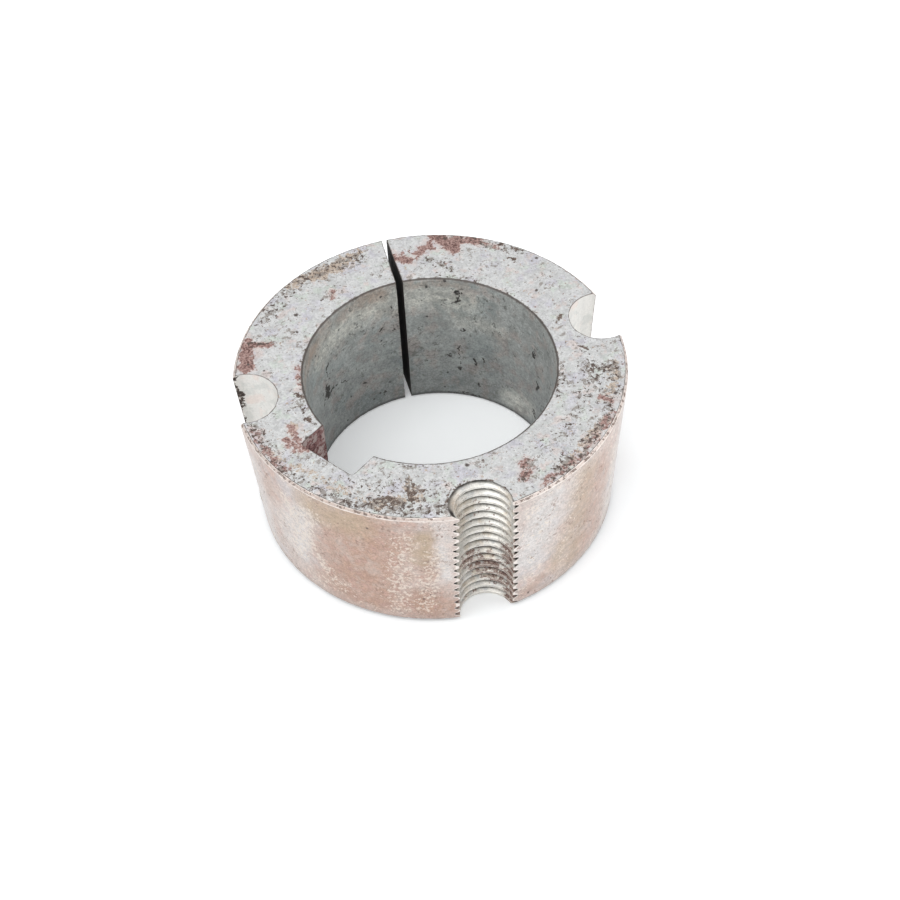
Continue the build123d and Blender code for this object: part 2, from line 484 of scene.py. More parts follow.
@dataclass
class TaperBush:
    """The bush, cut from a turned blank in one Geometry Nodes tree.

    Attributes:
        length: from the small end to the large end, from the frame.
        bore_radius: of the plain bore, from the frame.
        finishes: the material of each kind of wall.
    """

    length: float
    bore_radius: float
    finishes: dict[str, bpy.types.Material]
    large_radius: float = 28.575 * MM
    taper: float = math.radians(4.0)
    large_rim_chamfer: float = 0.4 * MM
    small_rim_chamfer: float = 0.7 * MM
    bore_chamfer: float = 0.3 * MM
    groove_turn: float = math.radians(-90.0)
    pitch_radius: float = 26.9875 * MM
    screw_radius: float = 4.7625 * MM
    pocket_turn: float = math.radians(94.7)
    pocket_depth: float = 17.5 * MM
    drill_point: float = math.radians(118.0)
    chisel_radius: float = 0.6 * MM
    tapping_radius: float = 3.96875 * MM
    thread_pitch: float = 1.5875 * MM
    thread_angle: float = math.radians(60.0)
    thread_phase: float = math.radians(165.0)
    keyway_width: float = 9.525 * MM
    keyway_depth: float = 4.7625 * MM
    keyway_corner: float = 0.5 * MM
    keyway_turn: float = math.radians(-55.4)
    slit_at_bore: float = 1.05 * MM
    slit_at_rim: float = 0.75 * MM
    slit_corner: float = 0.05 * MM
    slit_turn: float = math.radians(178.8)
    overrun: float = 2.0 * MM
    tap_overrun: float = 0.3 * MM
    broach_share: float = 0.7
    end_skin: float = 0.15 * MM
    end_upright: float = 0.9
    smooth_angle: float = math.radians(30.0)
    edge_angle: float = 0.4
    rub_width: float = 0.4 * MM
    rub_depth: float = 0.1 * MM
    nick_size: float = 1.0 * MM
    columns: int = 600

    def outer_radius(self, height: float) -> float:
        """Radius of the taper at a height above the small end."""
        return self.large_radius - (self.length - height) * math.tan(self.taper)

    def section(self) -> list[tuple[float, float]]:
        """Works out the outline of the blank's wall.

        Returns:
            Points of the closed outline as radius and height, closer together beside its corners.
        """
        bore_mouth = self.bore_radius + self.bore_chamfer
        rim = self.length - self.large_rim_chamfer
        corners = [
            (bore_mouth, 0.0),
            (self.outer_radius(0.0) - self.small_rim_chamfer, 0.0),
            (self.outer_radius(self.small_rim_chamfer), self.small_rim_chamfer),
            (self.outer_radius(rim), rim),
            (self.large_radius - self.large_rim_chamfer, self.length),
            (bore_mouth, self.length),
            (self.bore_radius, self.length - self.bore_chamfer),
            (self.bore_radius, self.bore_chamfer),
        ]
        points = []
        for start, end in zip(corners, corners[1:] + corners[:1]):
            for share in graded_shares(math.dist(start, end)):
                points.append(tuple(a + (b - a) * share for a, b in zip(start, end)))
        return points

    def outline(self) -> bpy.types.Object:
        """Makes the wire of the blank's section, which the tree turns into the ring."""
        points = self.section()
        count = len(points)
        mesh = bpy.data.meshes.new("blank_section")
        edges = [(i, (i + 1) % count) for i in range(count)]
        mesh.from_pydata([(radius, 0.0, height) for radius, height in points], edges, [])
        return new_object("blank_section", mesh)

    def tree_sizes(self) -> dict[str, float | int]:
        """Gives the tree's named inputs, which are the sizes of the cuts."""
        names = [
            "length", "bore_radius", "groove_turn", "pitch_radius", "screw_radius", "pocket_turn",
            "pocket_depth", "chisel_radius", "tapping_radius", "thread_pitch", "thread_phase",
            "keyway_turn", "keyway_width", "keyway_corner", "slit_turn", "slit_corner", "overrun",
            "edge_angle", "rub_width", "rub_depth", "nick_size", "columns",
        ]
        closing = (self.slit_at_bore - self.slit_at_rim) / (self.large_radius - self.bore_radius)
        flank_start = math.sqrt(self.bore_radius**2 - (self.keyway_width / 2) ** 2)
        return {name.replace("_", " ").title(): getattr(self, name) for name in names} | {
            "Keyway Floor": flank_start + self.keyway_depth,
            "Point Slope": 1.0 / math.tan(self.drill_point / 2),
            "Thread Half Angle": self.thread_angle / 2,
            "Tap Inner Radius": self.tapping_radius - self.tap_overrun,
            "Saw Inner": self.bore_radius - self.overrun,
            "Saw Outer": self.large_radius + self.overrun,
            "Saw Inner Width": self.slit_at_bore + closing * self.overrun,
            "Saw Outer Width": self.slit_at_rim - closing * self.overrun,
        }

    def finished(self, weave: Weaver, mesh: Any, finish: str, where: Any = True) -> bpy.types.NodeSocket:
        """Gives a mesh one of the finishes, on the faces that are picked."""
        feeds = {"Geometry": mesh, "Selection": where, "Material": self.finishes[finish]}
        return weave.out("GeometryNodeSetMaterial", feeds)

    def tree(self) -> bpy.types.NodeTree:
        """Builds the tree that turns, drills, taps, broaches and saws the bush."""
        weave = Group("machined_bush", "GeometryNodeTree", {"Section": Socket.GEOMETRY, **self.tree_sizes()})
        size = weave.given
        to_top = weave.plus(size["Length"], size["Overrun"])
        through = weave.plus(to_top, size["Overrun"])
        below = weave.negative(size["Overrun"])
        drill, bar, placed = drill_group(), bar_group(), placed_group()
        cutters = []

        def place(tool: bpy.types.Node, finish: str, turn: Any, height: Any, reach: Any = 0.0) -> None:
            """Puts a cutter in its place, with the finish that it leaves on the walls."""
            cutter = self.finished(weave, tool.outputs[0], finish)
            cutters.append(weave.use(placed, Cutter=cutter, Reach=reach, Turn=turn, Height=height).outputs[0])

        pocket = weave.use(
            drill,
            Radius=size["Screw Radius"],
            Depth=size["Pocket Depth"],
            Overrun=size["Overrun"],
            Point_Slope=size["Point Slope"],
            Chisel_Radius=size["Chisel Radius"],
            Segments=60,
        )
        for side in (-1.0, 1.0):
            turn = weave.math("MULTIPLY_ADD", size["Pocket Turn"], side, size["Groove Turn"])
            place(pocket, "drilled", turn, size["Length"], size["Pitch Radius"])
        tapping_drill = weave.use(
            drill,
            Radius=size["Tapping Radius"],
            Depth=to_top,
            Overrun=size["Overrun"],
            Point_Slope=0.0,
            Segments=120,
        )
        place(tapping_drill, "tapped", size["Groove Turn"], size["Length"], size["Pitch Radius"])
        tap = weave.use(
            thread_group(),
            Major_Radius=size["Screw Radius"],
            Inner_Radius=size["Tap Inner Radius"],
            Pitch=size["Thread Pitch"],
            Half_Angle=size["Thread Half Angle"],
            Height=through,
            Phase=size["Thread Phase"],
        )
        place(tap, "tapped", size["Groove Turn"], below, size["Pitch Radius"])
        broach = weave.use(
            bar,
            Inner=weave.times(size["Bore Radius"], self.broach_share),
            Outer=size["Keyway Floor"],
            Inner_Width=size["Keyway Width"],
            Outer_Width=size["Keyway Width"],
            Corner=size["Keyway Corner"],
            Height=through,
        )
        place(broach, "broached", weave.plus(size["Groove Turn"], size["Keyway Turn"]), below)
        saw = weave.use(
            bar,
            Inner=size["Saw Inner"],
            Outer=size["Saw Outer"],
            Inner_Width=size["Saw Inner Width"],
            Outer_Width=size["Saw Outer Width"],
            Corner=size["Slit Corner"],
            Height=through,
        )
        place(saw, "sawn", weave.plus(size["Groove Turn"], size["Slit Turn"]), below)

        ring = self.blank(weave)
        cut = weave.add("GeometryNodeMeshBoolean", {"Mesh 1": ring}, operation="DIFFERENCE", solver="EXACT")
        for cutter in cutters:
            weave.tree.links.new(cutter, cut.inputs["Mesh 2"])
        worn = weave.use(
            rubbed_group(),
            Mesh=cut.outputs["Mesh"],
            Edge_Angle=size["Edge Angle"],
            Width=size["Rub Width"],
            Depth=size["Rub Depth"],
            Nick_Size=size["Nick Size"],
            Length=size["Length"],
        )
        real = weave.out("GeometryNodeRealizeInstances", {"Geometry": worn.outputs[0]})
        ends = self.on_end_faces(weave, size["Length"])
        return weave.gives(Bush=self.finished(weave, real, "faced", ends))

    def blank(self, weave: Group) -> bpy.types.NodeSocket:
        """Turns the blank and gives its taper and its bore their finishes."""
        section, bore_radius, columns = weave.take("Section", "Bore Radius", "Columns")
        ring = weave.use(revolved_group(), Outline=section, Path_Radius=bore_radius, Columns=columns)
        turned = self.finished(weave, ring.outputs[0], "turned")
        x, y, _ = weave.split(weave.position())
        outwardness = weave.vector("DOT_PRODUCT", weave.combine(x, y), weave.true_normal())
        return self.finished(weave, turned, "bored", weave.math("LESS_THAN", outwardness, 0.0))

    def on_end_faces(self, weave: Weaver, length: Any) -> bpy.types.NodeSocket:
        """Selects the two flat ends: faces that look straight up or down from either end's height."""
        upright = weave.math("ABSOLUTE", weave.split(weave.true_normal())[2])
        height = weave.split(weave.position())[2]
        middle = weave.times(length, 0.5)
        from_middle = weave.math("ABSOLUTE", weave.minus(height, middle))
        at_end = weave.math("GREATER_THAN", from_middle, weave.minus(middle, self.end_skin))
        return weave.times(weave.math("GREATER_THAN", upright, self.end_upright), at_end)

    def build(self) -> bpy.types.Object:
        """Runs the tree and keeps its result as a plain mesh.

        Returns:
            The finished bush, at the origin.
        """
        wire = self.outline()
        tree = self.tree()
        modifier = wire.modifiers.new("machined_bush", "NODES")
        modifier.node_group = tree
        inputs = {item.name: item.identifier for item in tree.interface.items_tree if item.in_out == "INPUT"}
        for name, size in self.tree_sizes().items():
            modifier[inputs[name]] = size
        ready = wire.evaluated_get(bpy.context.evaluated_depsgraph_get())
        mesh = bpy.data.meshes.new_from_object(ready)
        mesh.name = "bush"
        wire.modifiers.remove(modifier)
        bpy.data.objects.remove(wire)
        mesh.polygons.foreach_set("use_smooth", [True] * len(mesh.polygons))
        mesh.set_sharp_from_angle(angle=self.smooth_angle)
        return new_object("bush", mesh)


def graded_shares(
    side: float, finest: float = 0.15 * MM, coarsest: float = 0.9 * MM, growth: float = 1.5
) -> list[float]:
    """Spaces points along a straight side, closer together towards both ends.

    Args:
        side: the side's length.
        finest: the first step from each end.
        coarsest: the longest step.
        growth: how much longer each step is than the one before it.

    Returns:
        The points' places as shares of the side, from 0 up to but not including 1.
    """
    half = [0.0]
    step = finest
    while half[-1] + step < side / 2:
        half.append(half[-1] + step)
        step = min(step * growth, coarsest)
    ahead = [place / side for place in half]
    back = [1 - place for place in reversed(ahead[1:])]
    return ahead + back


@dataclass(frozen=True)
class Viewpoint:
    """Where the camera stands, from the bush's own axes.

    Attributes:
        azimuth: turn about +Z, 0 looking along +Y.
        elevation: height above the horizon.
        roll: turn about the line of sight.
        distance: from the aim point.
        lens: focal length for a 36 mm sensor, in millimetres.
        slide: how far the aim point lies right of and above the middle of the bore.
    """

    azimuth: float = math.radians(-13.56)
    elevation: float = math.radians(48.63)
    roll: float = math.radians(-3.29)
    distance: float = 282.05 * MM
    lens: float = 75.56
    slide: tuple[float, float] = (2.45 * MM, -3.63 * MM)

    def build(self, middle: Vector) -> None:
        """Makes the camera that the scene is seen through.

        Args:
            middle: the point that the slide is measured from.
        """
        level, height = math.cos(self.elevation), math.sin(self.elevation)
        back = Vector((math.sin(self.azimuth) * level, -math.cos(self.azimuth) * level, height))
        across = Vector((math.cos(self.azimuth), math.sin(self.azimuth), 0.0))
        above = back.cross(across)
        right = across * math.cos(self.roll) + above * math.sin(self.roll)
        up = above * math.cos(self.roll) - across * math.sin(self.roll)
        place = middle + right * self.slide[0] + up * self.slide[1] + back * self.distance
        data = bpy.data.cameras.new("camera")
        data.lens = self.lens
        data.clip_start = 0.01
        data.clip_end = 10.0
        camera = new_object("camera", data)
        rows = [(right[i], up[i], back[i], place[i]) for i in range(3)]
        camera.matrix_world = Matrix((*rows, (0.0, 0.0, 0.0, 1.0)))
        bpy.context.scene.camera = camera


@dataclass(frozen=True)
class Lamp:
    """One soft square lamp aimed at the bush.

    Attributes:
        name: the lamp's name.
        direction: from the bush towards the lamp.
        power: in watts.
        size: its side.
        distance: from the bush.
    """

    name: str
    direction: tuple[float, float, float]
    power: float
    size: float = 0.5
    distance: float = 0.6

    def build(self, aim: Vector) -> None:
        """Makes the lamp, turned to face the aim point."""
        data = bpy.data.lights.new(self.name, "AREA")
        data.energy = self.power
        data.size = self.size
        lamp = new_object(self.name, data)
        towards = Vector(self.direction).normalized()
        lamp.location = aim + towards * self.distance
        lamp.rotation_euler = towards.to_track_quat("Z", "Y").to_euler()


@dataclass(frozen=True)
class Studio:
    """Pale floor, plain surroundings and soft lamps.

    Attributes:
        floor_size: side of the square floor.
        floor_colour: of the floor.
        lift: light that the camera sees on the floor inside the bore beside what falls on it.
        outer_lift: the same, on the floor round the bush.
        lift_change: distances from the axis between which the one lift turns into the other.
        surround: brightness of the surroundings as light.
        lamps: the lamps.
    """

    floor_size: float = 3.0
    floor_colour: tuple[float, float, float, float] = (0.86, 0.885, 0.9, 1.0)
    lift: float = 0.21
    outer_lift: float = 0.36
    lift_change: tuple[float, float] = (0.02, 0.05)
    surround: float = 0.62
    lamps: tuple[Lamp, ...] = (
        Lamp("key_lamp", (-0.35, -0.25, 1.0), 1.9),
        Lamp("side_lamp", (0.9, -0.5, 0.55), 1.0),
    )

    def build(self, aim: Vector) -> None:
        """Makes the floor, the lamps and the world.

        Args:
            aim: the point that the lamps face.
        """
        half = self.floor_size / 2
        corners = [(-half, -half, 0), (half, -half, 0), (half, half, 0), (-half, half, 0)]
        mesh = bpy.data.meshes.new("floor")
        mesh.from_pydata(corners, [], [(0, 1, 2, 3)])
        mesh.materials.append(self.floor_material())
        floor = new_object("floor", mesh)
        floor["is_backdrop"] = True
        for lamp in self.lamps:
            lamp.build(aim)
        self.surroundings()
        bpy.context.scene.view_settings.view_transform = "Standard"

    def floor_material(self) -> bpy.types.Material:
        """Gives the floor a pale matt finish that keeps the bush's shadow."""
        material = bpy.data.materials.new("pale_floor")
        weave = fresh_nodes(material)
        matt = weave.out("ShaderNodeBsdfDiffuse", {"Color": self.floor_colour})
        path = weave.add("ShaderNodeLightPath")
        seen = weave.math("MAXIMUM", path.outputs["Is Camera Ray"], path.outputs["Is Glossy Ray"])
        seen = weave.math("MAXIMUM", seen, path.outputs["Is Transmission Ray"])
        from_axis = weave.vector("LENGTH", weave.add("ShaderNodeTexCoord").outputs["Object"])
        lift = weave.ease(from_axis, *self.lift_change, self.lift, self.outer_lift)
        glow = weave.out("ShaderNodeEmission", {"Strength": weave.times(seen, lift)})
        both = weave.out("ShaderNodeAddShader", {0: matt, 1: glow})
        weave.add("ShaderNodeOutputMaterial", {"Surface": both})
        return material

    def surroundings(self) -> None:
        """Lights the scene evenly and shows white behind it."""
        world = bpy.data.worlds.new("surroundings")
        weave = fresh_nodes(world)
        path = weave.add("ShaderNodeLightPath")
        seen = weave.math("MAXIMUM", path.outputs["Is Camera Ray"], path.outputs["Is Transmission Ray"])
        strength = weave.ease(seen, 0.0, 1.0, self.surround, 1.0)
        shine = weave.out("ShaderNodeBackground", {"Color": (1.0, 1.0, 1.0, 1.0), "Strength": strength})
        weave.add("ShaderNodeOutputWorld", {"Surface": shine})
        bpy.context.scene.world = world


def paint(red: int, green: int, blue: int) -> tuple[float, float, float, float]:
    """Gives the linear colour of plain 0 to 255 values."""
    parts = [value / 255.0 for value in (red, green, blue)]
    linear = [part / 12.92 if part <= 0.04045 else ((part + 0.055) / 1.055) ** 2.4 for part in parts]
    return (*linear, 1.0)


class Stain(Enum):
    """Kinds of stain that the listed strokes lay on."""

    RUST = "red-brown film"
    SOOT = "dark pits and grime"
    TAN = "yellow-brown speckle"
    PALE = "metal rubbed bright"
    CRUMBS = "crumbs crowded together"


@dataclass(frozen=True)
class Stroke:
    """One stain along a short straight line, in millimetres in the bush's own axes.

    Attributes:
        stain: the kind of stain.
        start: one end of the line.
        end: the other end.
        width: how far the stain reaches from the line.
        strength: how sure the stain is along the line, 1 at full.
    """

    stain: Stain
    start: tuple[float, float, float]
    end: tuple[float, float, float]
    width: float
    strength: float = 1.0


def across_face(stain: Stain, *rows: tuple[float, ...]) -> list[Stroke]:
    """Lays strokes on the large end face.

    Args:
        stain: the kind of stain.
        rows: x and y of each stroke's start, the same of its end, its width and any strength.

    Returns:
        The strokes.
    """
    return [Stroke(stain, (*row[:2], LENGTH_MM), (*row[2:4], LENGTH_MM), *row[4:]) for row in rows]


def round_wall(stain: Stain, radius: float, *rows: tuple[float, ...]) -> list[Stroke]:
    """Lays strokes on a round wall.

    Args:
        stain: the kind of stain.
        radius: of the wall.
        rows: turn in degrees and height of each stroke's start, the same of its end, its width and
            any strength.

    Returns:
        The strokes.
    """
    strokes = []
    for row in rows:
        ends = []
        for turn, height in (row[:2], row[2:4]):
            angle = math.radians(turn)
            ends.append((radius * math.cos(angle), radius * math.sin(angle), height))
        strokes.append(Stroke(stain, *ends, *row[4:]))
    return strokes


FACE_STROKES = (
    *across_face(
        Stain.RUST,
        (-25.6, 8.2, -24.6, 12.4, 1.6), (-23.9, 12.4, -21.2, 11.7, 0.9), (1.6, 23.9, 3.4, 22.2, 1.1, 0.9),
        (4.6, 23.6, 6.9, 24.8, 1.2, 0.8), (8.5, 26.2, 10.4, 23.2, 1.6), (10.6, 24.9, 14.6, 23.6, 1.2, 0.9),
        (14.8, 23.0, 16.6, 21.2, 0.7, 0.6), (-27.3, -4.0, -26.6, -6.5, 0.9, 0.6),
        (-26.6, -7.5, -24.4, -12.6, 0.8, 0.65), (-23.0, -7.4, -21.6, -9.9, 0.9, 0.9),
        (-22.0, -5.4, -20.6, -9.6, 0.8, 0.7), (-20.6, -9.6, -18.0, -7.8, 0.9, 0.95),
        (7.6, -21.9, 7.0, -24.0, 1.4, 0.6), (21.9, -13.4, 22.8, -14.4, 1.2, 0.55),
        (-18.6, 2.5, -18.4, 6.0, 0.7, 0.55), (-10.0, 18.6, -9.6, 19.6, 0.8, 0.55),
    ),
    *round_wall(
        Stain.RUST, 27.6,
        (-72.0, 25.4, -55.0, 25.4, 0.9, 0.52), (-55.0, 25.4, -38.0, 25.4, 1.0, 0.5),
    ),
    *across_face(
        Stain.TAN,
        (-15.5, 23.0, -12.0, 23.9, 1.3, 0.9), (-12.0, 23.9, -8.0, 24.4, 1.4),
        (-8.0, 25.0, -4.4, 26.4, 1.3, 0.8), (-22.4, -6.8, -21.2, -4.9, 0.6),
        (-13.6, -22.4, -10.9, -23.0, 1.5, 0.75), (-9.0, -20.8, -7.8, -23.6, 1.1, 0.6),
    ),
    *round_wall(
        Stain.TAN, 27.2,
        (-160.0, 25.4, -120.0, 25.4, 0.9, 0.55), (-60.0, 25.4, -40.0, 25.4, 1.2, 0.6),
    ),
    *round_wall(Stain.TAN, 26.6, (-30.0, 25.4, -17.0, 25.4, 1.2, 0.6)),
    *across_face(
        Stain.CRUMBS,
        (-20.5, 17.0, -15.0, 23.0, 2.6, 0.75), (-14.5, 23.5, -4.0, 25.6, 2.4, 0.85),
        (-11.5, 18.3, -9.0, 20.6, 1.4, 0.6), (-24.0, 12.6, -20.8, 12.0, 0.7),
        (-23.6, 13.0, -24.2, 9.0, 0.6, 0.7), (5.0, 22.4, 8.6, 19.0, 1.3, 0.8),
        (9.0, 26.0, 15.0, 23.4, 1.0, 0.8), (15.0, 22.5, 19.4, 19.2, 1.5, 0.75),
        (6.0, 18.4, 11.5, 15.4, 0.8, 0.7), (14.4, 12.2, 18.0, 6.0, 0.8, 0.6),
        (18.2, -1.5, 17.8, -5.8, 0.7, 0.6), (17.4, -7.0, 16.0, -10.2, 1.4, 0.9),
        (21.4, -7.4, 25.6, -8.4, 1.7, 0.95), (20.6, -9.6, 25.0, -10.2, 1.4, 0.85),
        (18.4, -11.6, 24.6, -12.6, 1.6, 0.75), (22.8, -13.6, 21.0, -17.4, 1.4, 0.85),
        (21.0, -17.4, 16.6, -20.8, 1.5, 0.9), (16.8, -21.4, 10.4, -25.6, 1.1, 0.9),
        (13.4, -22.4, 11.6, -24.2, 1.7, 0.9), (8.2, -21.6, 6.6, -24.4, 1.4, 0.9),
        (22.6, -3.0, 21.4, -13.0, 5.0, 0.5), (18.0, -15.0, 9.0, -21.5, 4.4, 0.48),
        (-18.0, -18.0, -5.0, -23.5, 4.8, 0.6), (19.6, -12.6, 13.8, -18.6, 1.0, 0.75),
        (-26.9, -3.6, -24.8, -13.0, 1.9, 0.8), (-24.4, -13.4, -18.6, -20.0, 1.3, 0.8),
        (-18.6, -20.6, -11.0, -24.8, 2.0, 0.9), (-13.8, -22.0, -10.6, -23.2, 1.7),
        (-8.6, -20.0, -9.2, -23.8, 0.9, 0.9), (-7.8, -20.8, -6.8, -23.2, 0.7, 0.85),
        (-9.6, -25.2, -2.4, -26.6, 1.7, 0.85), (-4.8, -20.6, -3.8, -21.8, 0.8, 0.8),
        (-9.0, -16.6, -5.8, -18.4, 0.9, 0.7), (-16.6, 8.8, -18.8, 0.4, 0.8, 0.8),
        (-20.2, 1.4, -18.6, -5.4, 0.9, 0.8), (-23.4, -2.6, -20.0, -1.8, 0.7, 0.75),
        (-23.2, -9.6, -20.0, -10.4, 1.2, 0.6), (-21.6, -15.4, -16.0, -19.6, 1.3, 0.5),
    ),
    *across_face(
        Stain.SOOT,
        (-8.3, -20.4, -8.9, -23.2, 0.8, 0.75), (-8.4, -22.0, -7.0, -22.4, 0.6, 0.7),
        (-11.6, -22.2, -13.6, -21.6, 0.8, 0.75), (-11.0, -23.2, -13.2, -23.4, 0.6, 0.7),
        (17.0, 21.6, 17.8, 21.2, 0.5), (18.9, 20.3, 19.2, 19.9, 0.5), (17.6, 18.3, 18.4, 17.2, 0.4),
        (20.4, 2.9, 21.2, 4.3, 0.45), (21.7, -2.9, 22.7, -3.2, 0.45), (21.4, -7.2, 22.1, -7.9, 0.4),
        (-19.2, -4.4, -18.6, -5.0, 0.45), (-19.6, 0.6, -18.7, 0.2, 0.5, 0.8),
        (-4.9, -25.4, -3.4, -23.3, 0.32, 0.75), (-3.4, -23.3, -0.6, -22.4, 0.32, 0.7),
        (-0.6, -22.4, 2.2, -23.4, 0.32, 0.75), (2.2, -23.4, 3.8, -25.6, 0.32, 0.7),
        (-26.2, 7.0, -23.4, 4.9, 0.3, 0.7), (-23.4, 4.9, -22.3, 1.2, 0.3, 0.6),
    ),
)

TAPER_STROKES = (
    *round_wall(
        Stain.CRUMBS, 27.8,
        (-152.0, 8.0, -143.0, 20.0, 3.6, 0.85), (-148.0, 3.0, -133.0, 5.0, 2.8, 0.75),
        (-133.0, 2.0, -118.0, 3.0, 1.6, 0.7), (-153.0, 21.0, -138.0, 5.0, 1.8, 0.95),
        (-117.0, 4.0, -113.5, 20.0, 3.6, 0.8), (-109.0, 4.0, -104.5, 17.0, 2.8, 0.85),
        (-79.0, 2.0, -72.0, 9.0, 2.2, 0.7), (-66.0, 4.0, -58.0, 22.0, 2.4, 0.6),
        (88.0, 4.0, 94.0, 15.0, 3.0, 0.75), (128.0, 5.0, 134.0, 14.0, 2.4, 0.7),
    ),
    *round_wall(
        Stain.RUST, 27.8,
        (-128.0, 6.0, -124.0, 20.0, 10.0), (-112.0, 5.0, -106.0, 3.0, 6.0),
        (-108.0, 12.0, -106.5, 18.0, 2.4, 0.8), (-52.0, 6.0, -50.0, 19.0, 5.0, 0.55),
        (-162.0, 18.0, -158.0, 23.0, 3.5, 0.4), (28.0, 5.0, 38.0, 20.0, 7.0, 0.8),
        (66.0, 18.0, 78.0, 6.0, 8.0, 0.9), (104.0, 5.0, 122.0, 9.0, 7.0, 0.9),
        (136.0, 20.0, 152.0, 8.0, 8.0, 0.85),
    ),
    *round_wall(Stain.RUST, 27.6, (-78.0, 2.5, -72.0, 3.0, 2.4, 0.55)),
    *round_wall(
        Stain.TAN, 28.2,
        (84.0, 20.0, 98.0, 21.0, 4.0, 0.8), (-140.0, 22.0, -128.0, 22.5, 4.0, 0.8),
        (-108.5, 16.0, -107.5, 21.0, 2.0, 0.9),
    ),
    *round_wall(Stain.TAN, 28.0, (150.0, 19.0, 160.0, 16.0, 4.0, 0.6)),
    *round_wall(
        Stain.PALE, 27.8,
        (50.0, 6.0, 54.0, 20.0, 4.5, 0.8), (124.0, 19.0, 118.0, 23.0, 3.5, 0.7),
        (-102.0, 11.0, -103.0, 18.5, 1.3, 0.8), (-77.0, 11.0, -70.0, 22.0, 4.5, 0.9),
        (-151.0, 7.0, -146.0, 19.0, 2.4, 0.8), (-155.0, 9.0, -150.0, 17.0, 3.0, 0.6),
    ),
    *round_wall(
        Stain.TAN, 27.8,
        (-60.0, 4.0, -56.0, 22.0, 3.5, 0.55), (-66.0, 5.0, -64.0, 9.0, 2.2, 0.6),
    ),
    *round_wall(Stain.PALE, 28.2, (-101.5, 20.0, -103.0, 24.0, 1.4, 0.6)),
    *round_wall(Stain.PALE, 27.0, (-172.0, 4.0, -172.0, 20.0, 3.5, 0.7)),
    *round_wall(Stain.PALE, 27.4, (-28.0, 4.0, -24.0, 22.0, 6.0, 0.9)),
)

BORE_STROKES = (
    *round_wall(
        Stain.SOOT, 18.25,
        (137.4, 12.7, 136.4, 11.3, 0.85), (135.0, 12.0, 133.0, 11.2, 0.4, 0.9),
        (133.0, 11.4, 121.0, 10.4, 0.28, 0.75), (136.0, 13.0, 134.6, 17.6, 0.22, 0.75),
        (134.8, 16.6, 134.3, 17.2, 0.4), (139.0, 11.0, 147.0, 8.6, 0.22, 0.7),
        (62.0, 11.2, 62.0, 7.2, 0.2, 0.8), (62.4, 6.7, 61.6, 6.4, 0.45), (53.8, 9.0, 53.2, 8.0, 0.45),
        (49.5, 9.6, 49.4, 9.2, 0.4), (60.2, 15.3, 60.0, 15.0, 0.35), (66.5, 9.2, 67.5, 9.0, 0.6, 0.65),
        (60.8, 23.2, 61.6, 20.9, 0.7, 0.75), (51.5, 3.4, 51.9, 3.1, 0.35),
        (16.6, 17.2, 16.4, 16.2, 0.5, 0.85), (14.2, 11.4, 13.8, 10.0, 0.45, 0.85),
        (17.2, 4.2, 16.6, 3.0, 0.4), (100.2, 17.0, 99.6, 16.6, 0.45, 0.85), (94.0, 15.9, 93.2, 15.7, 0.35),
        (95.0, 20.6, 94.6, 20.2, 0.4, 0.8), (112.2, 7.3, 111.8, 6.9, 0.45, 0.85),
        (103.5, 3.2, 100.5, 3.1, 0.35), (120.6, 6.4, 120.4, 6.0, 0.4, 0.8),
        (52.0, 0.7, 68.0, 0.5, 0.4, 0.7),
    ),
    *round_wall(
        Stain.TAN, 18.3,
        (100.0, 24.3, 150.0, 23.6, 2.0, 0.9), (150.0, 24.0, 178.0, 22.0, 1.8, 0.7),
        (58.0, 24.5, 86.0, 24.5, 0.9, 0.5),
    ),
    *round_wall(
        Stain.PALE, 18.3,
        (92.0, 22.0, 112.0, 21.5, 3.0, 0.8), (112.0, 21.5, 140.0, 20.5, 3.0, 0.8),
        (58.0, 21.0, 84.0, 21.8, 3.0, 0.8), (40.0, 17.0, 62.0, 17.0, 2.0, 0.5),
        (22.0, 4.0, 34.0, 3.0, 2.5, 0.6),
    ),
)

SCREW_STROKES = (
    *round_wall(Stain.SOOT, 28.3, (165.6, 25.0, 165.4, 14.0, 0.5)),
    *round_wall(Stain.SOOT, 28.0, (165.4, 22.0, 165.2, 19.0, 0.7)),
)

THREAD_STROKES = (
    Stroke(Stain.RUST, (-1.0, -23.2, 9.0), (3.2, -24.6, 4.0), 3.0, 0.7),
    Stroke(Stain.RUST, (3.6, -25.6, 11.5), (3.9, -25.8, 1.0), 2.2, 0.85),
    Stroke(Stain.RUST, (4.4, -27.6, 17.0), (4.4, -27.4, 12.0), 0.9, 0.8),
    Stroke(Stain.RUST, (-4.4, -26.6, 5.5), (-4.2, -26.4, 0.5), 1.8),
    Stroke(Stain.TAN, (-4.0, -25.4, 24.0), (-3.2, -24.8, 18.0), 2.2, 0.8),
    Stroke(Stain.PALE, (1.6, -23.4, 24.0), (2.6, -24.0, 14.0), 1.8, 0.9),
)


